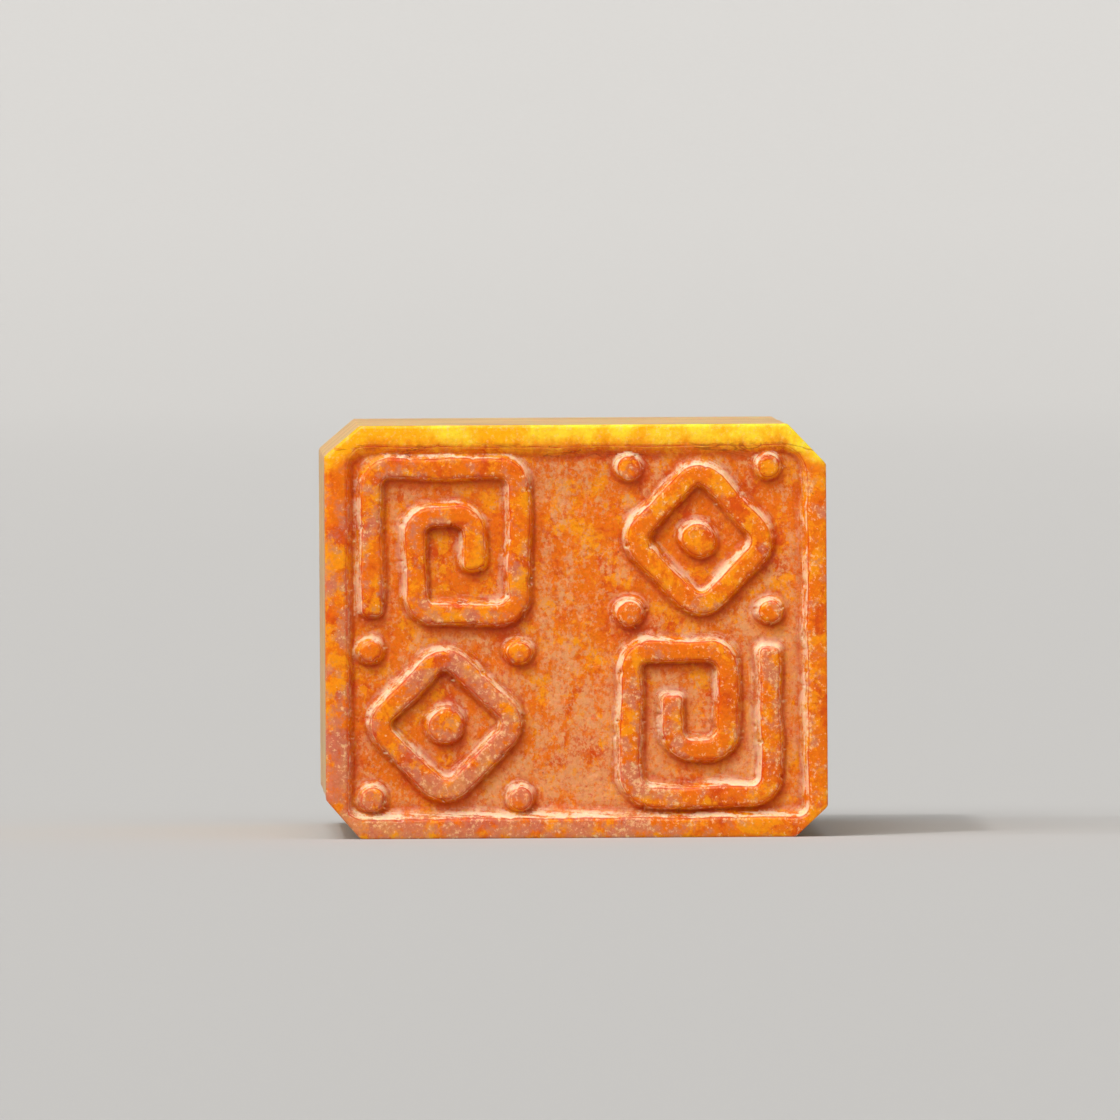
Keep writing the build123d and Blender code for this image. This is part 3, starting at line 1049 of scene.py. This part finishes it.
def add_sun(name, strength, softness, elevation, azimuth):
    """A soft distant lamp. Azimuth 0 comes from the camera's side, positive ones from its left."""
    lamp = bpy.data.lights.new(name, "SUN")
    lamp.energy = strength
    lamp.angle = math.radians(softness)
    rise, side = math.radians(elevation), math.radians(azimuth)
    toward = Vector((-math.sin(side) * math.cos(rise), -math.cos(side) * math.cos(rise), math.sin(rise)))
    add_object(name, lamp, toward, toward.to_track_quat("Z", "Y"))


class SEAL_OT_carve_stone(bpy.types.Operator):
    """Carve the whole stone from one block and give it its soapstone"""

    bl_idname = "seal.carve_stone"
    bl_label = "Carve the Stone"

    def execute(self, context):
        block = context.scene.seal_block
        carving = context.scene.seal_carving
        stone = build_stone_mesh(block, carving)
        piece = make_stone_object(stone, "carved_seal_stone")
        piece.data.materials.append(soapstone(context.scene.seal_colours, block))
        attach(piece, "root")
        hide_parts("seal_stone")
        return {"FINISHED"}


class SEAL_OT_set_stage(bpy.types.Operator):
    """Set the floor, the backdrop, the soft lamps and the camera"""

    bl_idname = "seal.set_stage"
    bl_label = "Set the Stage"

    def execute(self, context):
        scene = context.scene
        stage = scene.seal_stage
        block = scene.seal_block
        backdrop = make_backdrop("paper_backdrop")
        backdrop.data.materials.append(plain_material("pale_paper", stage.floor, 0.9))

        world = bpy.data.worlds.new("soft_dome")
        world.use_nodes = True
        world.node_tree.nodes.clear()
        node = partial(add_node, world.node_tree)
        dome = node("Background", stage.dome, DOME_STRENGTH)
        # What is seen of the world, straight or mirrored, is as pale as the lit floor
        paper = node("Background", stage.far_floor, 1.0)
        seen = 0.0
        for ray in ("Is Camera Ray", "Is Glossy Ray", "Is Transmission Ray"):
            seen = node("Maximum", node("LightPath", output=ray), seen)
        node("OutputWorld", node("MixShader", seen, dome, paper))
        scene.world = world
        for name, settings in LAMPS.items():
            add_sun(name, *settings)

        face_middle = Vector((0, -block.block_length / 2, block.face_height / 2))
        aim = face_middle + Vector((-stage.aim_side, 0, stage.aim_rise))
        eye = face_middle + Vector((-stage.camera_side, -stage.camera_distance, stage.camera_rise))
        lens = bpy.data.cameras.new("view_of_the_face")
        lens.sensor_width = 36
        lens.lens = lens.sensor_width * stage.camera_distance / stage.view_width
        lens.clip_start = 0.1
        lens.clip_end = 100
        roll = Matrix.Rotation(CAMERA_ROLL, 3, "Z").to_quaternion()
        scene.camera = add_object(lens.name, lens, eye, (aim - eye).to_track_quat("-Z", "Y") @ roll)
        scene.view_settings.view_transform = "Standard"
        return {"FINISHED"}


class VIEW3D_PT_seal_stamp(bpy.types.Panel):
    """Lists the steps and the sizes of the seal stamp"""

    bl_label = "Seal Stamp"
    bl_space_type = "VIEW_3D"
    bl_region_type = "UI"
    bl_category = "Seal"

    def draw(self, context):
        layout = self.layout
        for operator in OPERATORS:
            layout.operator(operator.bl_idname)
        for name, kind in GROUPS:
            layout.separator()
            for key in kind.__annotations__:
                layout.prop(getattr(context.scene, name), key)


OPERATORS = (SEAL_OT_carve_stone, SEAL_OT_set_stage)
GROUPS = (
    ("seal_block", SealBlockSizes),
    ("seal_carving", SealCarvingSizes),
    ("seal_colours", SealColours),
    ("seal_stage", SealStage),
)


def register():
    """Makes the sizes, the operators and the panel known to Blender."""
    for name, group in GROUPS:
        bpy.utils.register_class(group)
        setattr(bpy.types.Scene, name, bpy.props.PointerProperty(type=group))
    for kind in (*OPERATORS, VIEW3D_PT_seal_stamp):
        bpy.utils.register_class(kind)


def unregister():
    """Takes them out again."""
    for kind in (VIEW3D_PT_seal_stamp, *reversed(OPERATORS)):
        bpy.utils.unregister_class(kind)
    for name, group in reversed(GROUPS):
        delattr(bpy.types.Scene, name)
        bpy.utils.unregister_class(group)


def main():
    """Builds the stone and the stage."""
    register()
    bpy.ops.seal.carve_stone()
    bpy.ops.seal.set_stage()


if __name__ == "__main__":
    main()
